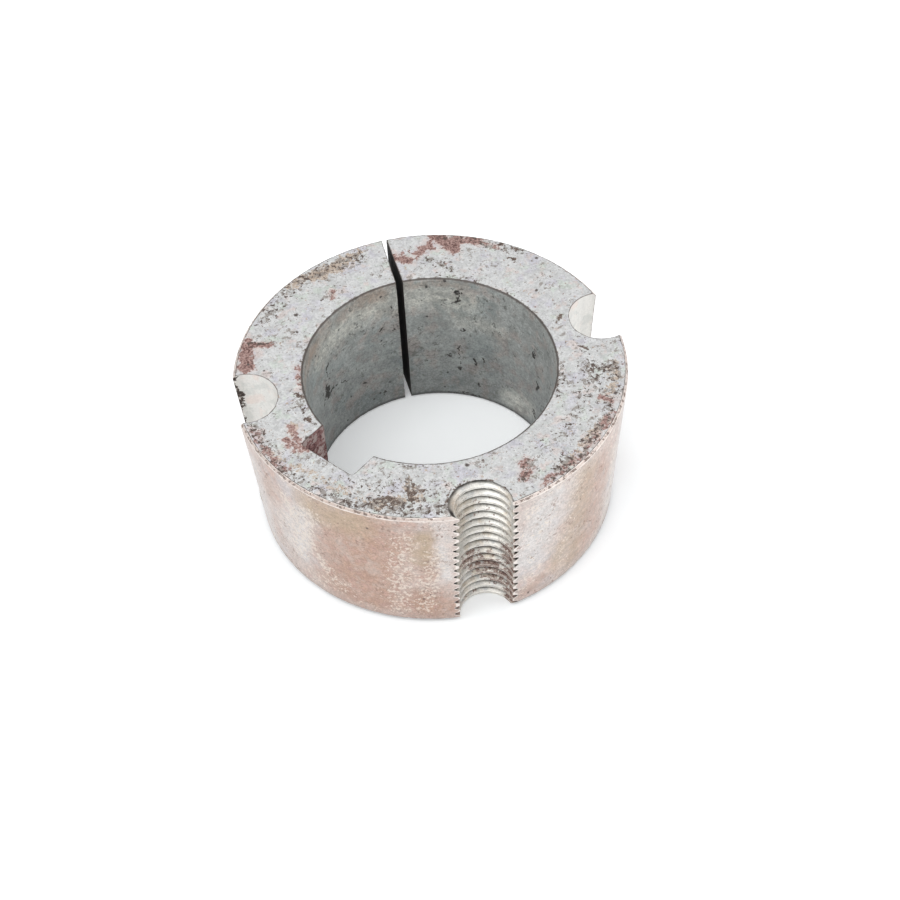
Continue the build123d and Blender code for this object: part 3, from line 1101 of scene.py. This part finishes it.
def stroke_group(core: float = 0.15, fringe: float = 1.35) -> bpy.types.NodeTree:
    """Makes the group that adds one stroke of a stain to the strokes before it, in millimetres.

    Args:
        core: share of the width out to which the stain is full.
        fringe: share of the width at which it ends.

    Returns:
        The group.
    """
    takes = {
        "Before": 0.0,
        "Place": (0.0, 0.0, 0.0),
        "Start": (0.0, 0.0, 0.0),
        "Along": (1.0, 0.0, 0.0),
        "Width": 1.0,
        "Strength": 1.0,
    }
    weave = Group("stroke", "ShaderNodeTree", takes)
    before, place, start, along, width, strength = weave.take(*takes)
    offset = weave.vector("SUBTRACT", place, start)
    length = weave.math("MAXIMUM", weave.vector("DOT_PRODUCT", along, along), 0.0001)
    share = weave.math("DIVIDE", weave.vector("DOT_PRODUCT", offset, along), length)
    nearest = weave.scaled(along, weave.held(share, 0.0, 1.0))
    distance = weave.vector("DISTANCE", offset, nearest)
    stain = weave.ease(distance, weave.times(width, core), weave.times(width, fringe), 1.0, 0.0)
    return weave.gives(Stain=weave.math("MAXIMUM", before, weave.times(stain, strength)))


def speckle_group(smallest: float = 0.25, core: float = 0.45) -> bpy.types.NodeTree:
    """Makes the group for scattered specks of uneven size and outline, in millimetres.

    Args:
        smallest: radius of the smallest speck as a share of the largest.
        core: share of a speck's radius out to which it is solid.

    Returns:
        The group.
    """
    takes = {"Place": (0.0, 0.0, 0.0), "Spacing": 1.0, "Size": 0.3, "Share": 0.5, "Raggedness": 0.3}
    weave = Group("speckle", "ShaderNodeTree", takes)
    place, spacing, size, share, raggedness = weave.take(*takes)
    ragged = weave.shaken(place, scale=weave.math("DIVIDE", 1.6, size), detail=3.0, reach=raggedness)
    feeds = {"Vector": ragged, "Scale": weave.math("DIVIDE", 1.0, spacing)}
    cells = weave.add("ShaderNodeTexVoronoi", feeds, feature="F1")
    luck, kind, _ = weave.split(cells.outputs["Color"])
    grown = weave.math("MULTIPLY_ADD", weave.math("POWER", luck, 1.5), 1.0 - smallest, smallest)
    radius = weave.times(weave.math("DIVIDE", size, spacing), grown)
    speck = weave.ease(cells.outputs["Distance"], weave.times(radius, core), radius, 1.0, 0.0)
    return weave.gives(Mask=weave.times(speck, weave.math("LESS_THAN", kind, share)))


def oxide_group(
    broad_share: float = 0.65, fine_size: float = 0.3, contrast: float = 3.0
) -> bpy.types.NodeTree:
    """Makes the group that breaks a stain up and colours it from its thin rim to its thick middle.

    Args:
        broad_share: share of the broad noise in the outline; the rest is fine.
        fine_size: size of the fine noise as a share of the flakes'.
        contrast: how strongly the noise tells.

    Returns:
        The group.
    """
    takes = {
        "Place": (0.0, 0.0, 0.0),
        "Stain": 0.0,
        "Flake Size": 1.0,
        "Raggedness": 0.8,
        "Thin": (0.6, 0.4, 0.35, 1.0),
        "Thick": (0.25, 0.1, 0.08, 1.0),
    }
    weave = Group("oxide", "ShaderNodeTree", takes)
    place, stain, size, raggedness, thin, thick = weave.take(*takes)
    broad = weave.noise(place, size, detail=4.0, roughness=0.6)
    fine = weave.noise(place, weave.times(size, fine_size), detail=4.0, roughness=0.7)
    both = weave.plus(weave.times(broad, broad_share), weave.times(fine, 1.0 - broad_share))
    ragged = weave.times(weave.minus(both, 0.5), raggedness)
    level = weave.math("MULTIPLY_ADD", ragged, contrast, stain)
    amount = weave.math("MULTIPLY_ADD", fine, contrast, weave.times(level, 0.6))
    thickness = weave.ease(amount, 1.65, 2.5)
    return weave.gives(Mask=weave.ease(level, 0.42, 0.58), Colour=weave.blend(thickness, thin, thick))


def crumbs_group(
    sparse: float = 0.72, crowded: float = 0.44, softness: float = 0.05
) -> bpy.types.NodeTree:
    """Makes the group for ragged crumbs that crowd together where there is more of them.

    Args:
        sparse: noise above which there is a crumb where the amount is 0.
        crowded: the same where the amount is 1.
        softness: how much more noise it takes for a crumb to cover fully.

    Returns:
        The group.
    """
    takes = {"Place": (0.0, 0.0, 0.0), "Size": 0.6, "Amount": 0.5}
    weave = Group("crumbs", "ShaderNodeTree", takes)
    place, size, amount = weave.take(*takes)
    value = weave.noise(place, size, detail=3.0, roughness=0.7)
    limit = weave.math("MULTIPLY_ADD", amount, crowded - sparse, sparse)
    return weave.gives(Mask=weave.ease(value, limit, weave.plus(limit, softness)))


def edge_group(swing: float = 4.0, core: float = 0.4) -> bpy.types.NodeTree:
    """Makes the group that finds the strip beside the sharp edges, in millimetres.

    Args:
        swing: how strongly the noise widens and narrows the strip.
        core: share of the strip's width out to which it is full.

    Returns:
        The group.
    """
    takes = {"Place": (0.0, 0.0, 0.0), "Width": 0.3, "Unevenness": 0.8}
    weave = Group("edge_strip", "ShaderNodeTree", takes)
    place, width, unevenness = weave.take(*takes)
    distance = weave.add("ShaderNodeAttribute", attribute_name=EDGE_DISTANCE).outputs["Fac"]
    in_mm = weave.times(distance, 1.0 / MM)
    wobble = weave.minus(weave.noise(place, 0.9, detail=4.0, roughness=0.65), 0.5)
    widening = weave.plus(1.0, weave.times(wobble, weave.times(unevenness, swing)))
    reach = weave.times(width, weave.math("MAXIMUM", widening, 0.02))
    return weave.gives(Mask=weave.ease(in_mm, weave.times(reach, core), reach, 1.0, 0.0))


class Effects:
    """The shader groups that the finishes share, each built once."""

    def __init__(self) -> None:
        """Builds the groups."""
        self.stroke = stroke_group()
        self.speckle = speckle_group()
        self.oxide = oxide_group()
        self.crumbs = crumbs_group()
        self.edge = edge_group()


class Surface:
    """One material's colour, metallic, roughness and height, built up layer on layer.

    All its sizes are in millimetres, and its heights in hundredths of one.

    Attributes:
        OXIDE: metallic and roughness of oxide.
        DIRT: metallic and roughness of dirt and specks.
        CRUMBS: metallic and roughness of crumbs.
    """

    OXIDE = (0.0, 0.85)
    DIRT = (0.1, 0.8)
    CRUMBS = (0.15, 0.75)

    def __init__(
        self, weave: Weaver, effects: Effects, colour: tuple, metallic: float, roughness: float
    ) -> None:
        """Starts with clean metal.

        Args:
            weave: adds nodes to the material.
            effects: the shared groups.
            colour: of the clean metal.
            metallic: of the clean metal.
            roughness: of the clean metal.
        """
        self.weave = weave
        self.effects = effects
        self.colour: Any = colour
        self.metallic: Any = metallic
        self.roughness: Any = roughness
        self.height: Any = 0.0
        self.place = weave.scaled(weave.add("ShaderNodeTexCoord").outputs["Object"], 1.0 / MM)
        self.bent = weave.shaken(self.place, scale=0.8, detail=4.0, reach=2.4)

    def mask(self, tree: bpy.types.NodeTree, **feeds: Any) -> bpy.types.NodeSocket:
        """Gives what one of the shared groups draws on the surface."""
        return self.weave.use(tree, **({"Place": self.place} | feeds)).outputs[0]

    def uneven(
        self, size: float, low: float, high: float, at_low: float = 0.0, at_high: float = 1.0, **noise: float
    ) -> Any:
        """Gives soft noise of a size, spread from one value to another."""
        return self.weave.ease(self.weave.noise(self.place, size, **noise), low, high, at_low, at_high)

    def cover(
        self, mask: Any, colour: Any, metallic: Any = None, roughness: Any = None, height: float = 0.0
    ) -> None:
        """Lays another look over the surface where a mask is 1.

        Args:
            mask: from 0 to 1.
            colour: of the layer.
            metallic: of the layer, or None to leave it.
            roughness: of the layer, or None to leave it.
            height: how far the layer stands proud.
        """
        self.colour = self.weave.blend(mask, self.colour, colour)
        if metallic is not None:
            self.metallic = self.weave.mixed(mask, self.metallic, metallic)
        if roughness is not None:
            self.roughness = self.weave.mixed(mask, self.roughness, roughness)
        if height:
            self.height = self.weave.math("MULTIPLY_ADD", mask, height, self.height)

    def tone(self, value: Any, dark: float, light: float, height: float = 0.0) -> None:
        """Darkens and lightens the colour as a value goes from 0 to 1.

        Args:
            value: from 0 to 1.
            dark: factor at 0.
            light: factor at 1.
            height: how far the surface rises from 0 to 1.
        """
        factor = self.weave.math("MULTIPLY_ADD", value, light - dark, dark)
        colour = self.colour[:3] if isinstance(self.colour, tuple) else self.colour
        self.colour = self.weave.scaled(colour, factor)
        if height:
            self.height = self.weave.math("MULTIPLY_ADD", value, height, self.height)

    def drift(
        self, size: float, colour: tuple, low: float = 0.5, high: float = 0.66, offset: float = 0.0
    ) -> None:
        """Lets the colour drift to another one in soft patches."""
        moved = self.weave.vector("ADD", self.place, (offset, offset * 0.7, offset * 0.4))
        value = self.weave.noise(moved, size, detail=3.0, roughness=0.55)
        self.cover(self.weave.ease(value, low, high), colour)

    def grain(
        self,
        size: float,
        dark: float,
        light: float,
        height: float = 0.0,
        low: float = 0.3,
        high: float = 0.7,
    ) -> None:
        """Adds fine uneven grain."""
        self.tone(self.uneven(size, low, high, detail=4.0, roughness=0.65), dark, light, height)

    def stain(self, strokes: Sequence[Stroke], kind: Stain) -> Any:
        """Gives how strongly the strokes of one kind cover the surface, from 0 to 1."""
        amount: Any = 0.0
        for stroke in strokes:
            if stroke.stain is kind:
                amount = self.mask(
                    self.effects.stroke,
                    Before=amount,
                    Place=self.bent,
                    Start=stroke.start,
                    Along=Vector(stroke.end) - Vector(stroke.start),
                    Width=stroke.width,
                    Strength=stroke.strength,
                )
        return amount

    def oxide(self, stain: Any, size: float, ragged: float, thin: tuple, thick: tuple) -> None:
        """Lays ragged oxide over the surface.

        Args:
            stain: how much of it there is, from 0 to 1.
            size: of its flakes.
            ragged: how broken up it is.
            thin: colour where it is thin.
            thick: colour where it is thick.
        """
        feeds = {"Stain": stain, "Flake_Size": size, "Raggedness": ragged, "Thin": thin, "Thick": thick}
        node = self.weave.use(self.effects.oxide, Place=self.place, **feeds)
        self.cover(node.outputs["Mask"], node.outputs["Colour"], *self.OXIDE)

    def tint(self, stain: Any, colour: tuple, size: float = 1.6) -> None:
        """Blends the colour softly and unevenly towards another one where a stain lies."""
        uneven = self.uneven(size, 0.25, 0.6, 0.45, detail=4.0)
        self.cover(self.weave.times(stain, uneven), colour)

    def specks(
        self,
        spacing: float,
        size: float,
        share: Any,
        colour: tuple,
        height: float = -2.0,
        strength: float = 1.0,
    ) -> None:
        """Scatters specks over the surface.

        Args:
            spacing: between specks.
            size: radius of the largest.
            share: how many of the places have one, from 0 to 1.
            colour: of the specks.
            height: how far they stand proud.
            strength: how well they cover.
        """
        feeds = {"Spacing": spacing, "Size": size, "Share": share, "Raggedness": size * 0.9}
        mask = self.mask(self.effects.speckle, **feeds)
        if strength < 1.0:
            mask = self.weave.times(mask, strength)
        self.cover(mask, colour, *self.DIRT, height)

    def edges(
        self,
        width: float,
        colour: tuple,
        strength: float = 1.0,
        metallic: Any = None,
        unevenness: float = 0.6,
    ) -> None:
        """Colours the strip beside the sharp edges."""
        mask = self.mask(self.effects.edge, Width=width, Unevenness=unevenness)
        self.cover(self.weave.times(mask, strength), colour, metallic)

    def crumbs(
        self, size: float, amount: Any, colour: tuple, height: float = 0.0, strength: float = 1.0
    ) -> None:
        """Scatters ragged crumbs, few where the amount is 0 and nearly covering where it is 1."""
        shifted = self.weave.vector("ADD", self.place, (size * 7.0, size * 13.0, size * 5.0))
        mask = self.mask(self.effects.crumbs, Place=shifted, Size=size, Amount=amount)
        self.cover(self.weave.times(mask, strength), colour, *self.CRUMBS, height)

    def crowd(self, stain: Any, most: float, elsewhere: Any) -> Any:
        """Gives a share of specks that is high where a stain lies and as given elsewhere."""
        return self.weave.math("MAXIMUM", self.weave.times(stain, most), elsewhere)

    def clusters(self, size: float, least: float, most: float) -> Any:
        """Gives a share of specks that is higher in some patches than in others."""
        return self.uneven(size, 0.4, 0.65, least, most, detail=2.0)

    def lines(self, spacing: float, upright: bool, dark: float, light: float, height: float = 0.0) -> None:
        """Adds tool lines, round the wall or up it.

        Args:
            spacing: between lines.
            upright: True for lines up the wall, False for lines round it.
            dark: factor of the darkest line.
            light: factor of the lightest line.
            height: how deep they are.
        """
        stretch = (1.0, 1.0, 0.06) if upright else (0.05, 0.05, 1.0)
        drawn = self.weave.vector("MULTIPLY", self.place, stretch)
        value = self.weave.noise(drawn, spacing * 2.0)
        self.tone(self.weave.ease(value, 0.35, 0.65), dark, light, height)


@dataclass(frozen=True)
class Finish:
    """What all the finishes of the bush share: bare grey iron, seen as one cutter leaves it.

    Attributes:
        effects: the shared shader groups.
        name: the material's name.
        colour: of the clean metal.
        metallic: of the clean metal.
        roughness: of the clean metal.
        relief: strength of the bump.
        step: how high one unit of the surface's height is.
    """

    effects: Effects
    name: str = "iron"
    colour: tuple = paint(200, 200, 200)
    metallic: float = 0.45
    roughness: float = 0.5
    relief: float = 0.6
    step: float = 0.01 * MM

    def build(self) -> bpy.types.Material:
        """Makes the material.

        Returns:
            The material, with its layers wired to its shader.
        """
        material = bpy.data.materials.new(self.name)
        weave = fresh_nodes(material)
        surface = Surface(weave, self.effects, self.colour, self.metallic, self.roughness)
        self.dress(surface)
        feeds = {"Strength": self.relief, "Distance": self.step, "Height": surface.height}
        bump = weave.out("ShaderNodeBump", feeds)
        shader = weave.out(
            "ShaderNodeBsdfPrincipled",
            {
                "Base Color": surface.colour,
                "Metallic": surface.metallic,
                "Roughness": surface.roughness,
                "Normal": bump,
            },
        )
        weave.add("ShaderNodeOutputMaterial", {"Surface": shader})
        return material

    def dress(self, surface: Surface) -> None:
        """Adds the finish's own layers to the surface."""
        raise NotImplementedError


@dataclass(frozen=True)
class FacedFinish(Finish):
    """The flat ends: pale grey, speckled and pitted, with rust in patches."""

    name: str = "faced_iron"
    colour: tuple = paint(220, 221, 221)
    strokes: tuple[Stroke, ...] = FACE_STROKES

    def dress(self, surface: Surface) -> None:
        """Adds drifts, grain, specks, rust and rubbed edges."""
        surface.drift(3.2, paint(213, 212, 219))
        surface.drift(2.6, paint(213, 219, 213), 0.54, 0.68, offset=40.0)
        surface.drift(2.2, paint(224, 215, 212), 0.56, 0.68, offset=90.0)
        surface.grain(1.0, 0.90, 1.05, low=0.36, high=0.58)
        surface.grain(0.32, 0.82, 1.09, height=1.6)
        stains = (Stain.TAN, Stain.RUST, Stain.CRUMBS)
        tan, rust, dark = (surface.stain(self.strokes, stain) for stain in stains)
        crowded = surface.crowd(dark, 0.95, surface.clusters(5.0, 0.15, 0.6))
        surface.oxide(tan, 0.8, 1.4, paint(200, 188, 176), paint(166, 148, 132))
        surface.tint(rust, paint(212, 190, 184), 1.2)
        surface.crumbs(0.8, crowded, paint(146, 139, 133), -1.0, 0.85)
        surface.oxide(rust, 1.1, 1.3, paint(174, 144, 137), paint(94, 66, 62))
        crowded = surface.crowd(dark, 0.85, surface.clusters(5.0, 0.0, 0.35))
        surface.crumbs(0.55, crowded, paint(92, 80, 74), -3.0)
        surface.specks(2.0, 0.5, 0.5, paint(92, 84, 80), -4.0)
        soot = surface.stain(self.strokes, Stain.SOOT)
        surface.oxide(soot, 0.55, 1.4, paint(126, 110, 100), paint(58, 48, 45))
        surface.edges(0.15, paint(92, 80, 74), 0.85, unevenness=1.0)


@dataclass(frozen=True)
class TurnedFinish(Finish):
    """The taper: pinkish brown film over turned metal, rubbed to silver in places."""

    name: str = "turned_iron"
    colour: tuple = paint(216, 202, 195)
    strokes: tuple[Stroke, ...] = TAPER_STROKES

    def dress(self, surface: Surface) -> None:
        """Adds the film, the rubbed places, flecks, tool lines, a painted highlight along the edges and
        painted shade towards the foot.
        """
        weave = surface.weave
        surface.drift(5.0, paint(211, 203, 202))
        surface.drift(3.0, paint(215, 195, 187), 0.48, 0.68, offset=30.0)
        film = surface.stain(self.strokes, Stain.RUST)
        surface.tint(film, paint(192, 159, 141), 2.2)
        surface.cover(weave.times(film, surface.uneven(1.4, 0.5, 0.62)), paint(197, 164, 151))
        surface.tint(surface.stain(self.strokes, Stain.TAN), paint(194, 174, 150), 1.4)
        surface.tint(surface.stain(self.strokes, Stain.PALE), paint(226, 222, 220), 1.2)
        height = weave.split(surface.place)[2]
        # Painted shade, darker towards the small end that stands on the floor.
        surface.cover(weave.ease(height, 0.6, 4.0, 0.3, 0.0), paint(196, 184, 180))
        surface.lines(0.35, False, 0.96, 1.02, 0.6)
        surface.grain(1.0, 0.88, 1.07)
        surface.grain(0.28, 0.80, 1.10, height=1.2)
        bare = weave.minus(1.0, weave.times(film, 0.75))
        flecks = weave.times(bare, surface.clusters(3.0, 0.05, 0.7))
        flecks = surface.crowd(surface.stain(self.strokes, Stain.CRUMBS), 0.95, flecks)
        surface.crumbs(0.55, flecks, paint(238, 227, 216), 0.8, 0.7)
        surface.crumbs(0.5, surface.clusters(4.0, 0.1, 0.62), paint(158, 134, 123), -1.0, 0.8)
        surface.specks(2.2, 0.34, 0.4, paint(108, 92, 87), -2.0, strength=0.85)
        rim = weave.ease(height, LENGTH_MM - 0.55, LENGTH_MM - 0.3)
        surface.cover(weave.times(rim, 0.6), paint(222, 208, 201))
        surface.crumbs(0.7, weave.times(rim, 0.75), paint(128, 112, 104), -1.0, 0.9)
        # Painted highlight along the sharp edges, where the metal is also rubbed bright.
        surface.edges(0.12, paint(240, 232, 226), 0.9, 0.6, 1.1)
        # Painted shade in a dark band on the small end's chamfer against the floor, broken up unevenly.
        foot = weave.ease(height, 0.45, 1.05, 0.85, 0.0)
        surface.cover(weave.times(foot, surface.uneven(1.5, 0.3, 0.5, 0.4)), paint(98, 90, 86))


@dataclass(frozen=True)
class BoredFinish(Finish):
    """The bore: darker grey, partly as painted shade, with painted shade deepening downwards and painted
    light towards the large end, mottled there, with black pits.
    """

    name: str = "bored_iron"
    colour: tuple = paint(151, 154, 152)
    metallic: float = 0.35
    strokes: tuple[Stroke, ...] = BORE_STROKES

    def dress(self, surface: Surface) -> None:
        """Adds painted shade and light by height, tool lines, mottling, pits, painted shade at the small end
        and dark rims.
        """
        weave = surface.weave
        height = weave.split(surface.place)[2]
        surface.drift(6.0, paint(142, 148, 147))
        surface.drift(3.0, paint(154, 149, 145), 0.5, 0.66, offset=50.0)
        # Painted shade and light: darker deep in the bore, lighter towards the large end where the light
        # comes in.
        surface.tone(weave.ease(height, -4.0, 29.0), 0.76, 1.75)
        surface.tint(surface.stain(self.strokes, Stain.PALE), paint(222, 221, 212))
        surface.tint(surface.stain(self.strokes, Stain.TAN), paint(190, 172, 158), 0.9)
        surface.lines(0.3, False, 0.95, 1.03, 0.5)
        surface.grain(2.4, 0.86, 1.12, low=0.35, high=0.65)
        surface.grain(0.8, 0.86, 1.10)
        surface.grain(0.3, 0.78, 1.14, height=1.0)
        surface.crumbs(0.8, surface.clusters(4.0, 0.2, 0.6), paint(112, 113, 108), -1.0, 0.7)
        surface.specks(2.4, 0.38, 0.5, paint(66, 66, 66), -4.0, strength=0.9)
        soot = surface.stain(self.strokes, Stain.SOOT)
        surface.oxide(soot, 0.45, 1.0, paint(92, 90, 87), paint(34, 32, 32))
        # Painted shade at the small end of the bore, deepest in the hole beside the floor.
        surface.cover(weave.ease(height, 0.3, 1.2, 0.8, 0.0), paint(56, 56, 55))
        rim = weave.ease(height, LENGTH_MM - 0.42, LENGTH_MM - 0.1, 0.0, 0.9)
        surface.cover(rim, paint(74, 66, 61))


@dataclass(frozen=True)
class DrilledFinish(Finish):
    """The two blind screw pockets: creamy, with faint drill lines and grime at their lips."""

    name: str = "drilled_iron"
    colour: tuple = paint(232, 230, 226)
    strokes: tuple[Stroke, ...] = SCREW_STROKES

    def dress(self, surface: Surface) -> None:
        """Adds faint streaks, grain and grime."""
        surface.drift(2.6, paint(232, 222, 216))
        surface.drift(2.0, paint(217, 217, 213), 0.5, 0.66, offset=20.0)
        surface.lines(0.5, True, 0.96, 1.02, 0.5)
        surface.grain(0.3, 0.93, 1.04, height=0.8)
        surface.specks(1.8, 0.26, 0.3, paint(170, 160, 150), strength=0.7)
        surface.edges(0.12, paint(150, 134, 124), 0.7)
        soot = surface.stain(self.strokes, Stain.SOOT)
        surface.oxide(soot, 0.5, 1.0, paint(96, 84, 78), paint(36, 30, 30))


@dataclass(frozen=True)
class TappedFinish(Finish):
    """The thread: bright flanks, dirt and painted shade in its roots, rust low down, painted highlights on
    its crests.

    Attributes:
        hole: the hole's axis as x and y, in millimetres.
        crest_radius: radius of the thread's crests, in millimetres.
        root_radius: radius of its roots, in millimetres.
    """

    name: str = "tapped_iron"
    colour: tuple = paint(236, 233, 227)
    metallic: float = 0.6
    roughness: float = 0.42
    strokes: tuple[Stroke, ...] = THREAD_STROKES
    hole: tuple[float, float] = (0.0, -26.9875)
    crest_radius: float = 3.96875
    root_radius: float = 4.7625

    def dress(self, surface: Surface) -> None:
        """Adds dirt and painted shade in the roots, beige and bright patches, rust and a painted highlight on
        the crests.
        """
        weave = surface.weave
        surface.drift(2.4, paint(222, 212, 198))
        surface.drift(1.8, paint(212, 212, 210), 0.5, 0.66, offset=25.0)
        surface.tint(surface.stain(self.strokes, Stain.TAN), paint(206, 186, 164))
        surface.tint(surface.stain(self.strokes, Stain.PALE), paint(242, 241, 236))
        surface.grain(0.7, 0.86, 1.06)
        surface.grain(0.22, 0.82, 1.08, height=1.0)
        x, y, _ = weave.split(surface.place)
        across = weave.combine(weave.minus(x, self.hole[0]), weave.minus(y, self.hole[1]))
        from_axis = weave.vector("LENGTH", across)
        # Dirt in the thread roots, darkened further as painted shade in the recesses.
        root = weave.ease(from_axis, self.crest_radius + 0.26, self.root_radius - 0.06)
        rust = surface.stain(self.strokes, Stain.RUST)
        surface.oxide(rust, 0.8, 1.7, paint(186, 164, 154), paint(118, 92, 86))
        root_dirt_and_shade = weave.blend(rust, paint(70, 67, 63), paint(62, 40, 37))
        surface.cover(weave.times(root, surface.uneven(1.2, 0.3, 0.6, 0.6)), root_dirt_and_shade, *surface.DIRT)
        # Near-black painted shade, with some dirt, between the teeth at the hole's open lip.
        lip = weave.ease(y, self.hole[1] + 1.0, self.hole[1] - 0.1)
        flank = weave.ease(from_axis, self.crest_radius + 0.12, self.crest_radius + 0.42)
        surface.cover(weave.times(flank, lip), paint(44, 38, 35), *surface.DIRT)
        # Painted highlight on the thread's crests and edges.
        surface.edges(0.12, paint(244, 240, 232), 0.6, 0.7, 0.5)


@dataclass(frozen=True)
class BroachedFinish(Finish):
    """The keyway: pinkish metal under dark red-brown rust."""

    name: str = "broached_iron"
    colour: tuple = paint(205, 186, 182)

    def dress(self, surface: Surface) -> None:
        """Adds upright tool lines, grain and rust."""
        surface.drift(1.6, paint(176, 150, 146))
        surface.lines(0.4, True, 0.93, 1.04, 0.8)
        surface.grain(0.3, 0.88, 1.06, height=1.2)
        surface.oxide(0.56, 1.6, 1.2, paint(160, 122, 120), paint(98, 66, 66))
        surface.edges(0.15, paint(110, 90, 84), 0.6)


@dataclass(frozen=True)
class SawnFinish(Finish):
    """The saw cut: dull and nearly black."""

    name: str = "sawn_iron"
    colour: tuple = paint(62, 60, 58)
    metallic: float = 0.1
    roughness: float = 0.8

    def dress(self, surface: Surface) -> None:
        """Adds saw lines, grain and a paler lip."""
        surface.lines(0.4, True, 0.7, 1.1, 1.5)
        surface.grain(0.5, 0.75, 1.1, height=1.0)
        surface.edges(0.2, paint(108, 100, 94), 0.6)


def main() -> None:
    """Builds the studio, the camera and the bush, and fits the bush to the frame."""
    logging.basicConfig(level=logging.INFO, format="%(name)s: %(message)s")
    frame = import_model()
    cad_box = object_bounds()
    mounts = {mount["name"]: mount for mount in frame["record"]["mounts"]}
    length = cad_box[1][2] - cad_box[0][2]
    middle = Vector((0.0, 0.0, length / 2))
    Viewpoint().build(middle)
    Studio().build(middle)
    effects = Effects()
    finishes = {
        "faced": FacedFinish(effects).build(),
        "turned": TurnedFinish(effects).build(),
        "bored": BoredFinish(effects).build(),
        "drilled": DrilledFinish(effects).build(),
        "tapped": TappedFinish(effects).build(),
        "broached": BroachedFinish(effects).build(),
        "sawn": SawnFinish(effects).build(),
    }
    bore_radius = mounts["shaft_bore"]["dims"]["r_mm"] * MM
    bush = TaperBush(length=length, bore_radius=bore_radius, finishes=finishes).build()
    LOG.info("%s: %d faces", bush.name, len(bush.data.polygons))
    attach(bush, "root")
    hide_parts("taper_bush")


if __name__ == "__main__":
    main()
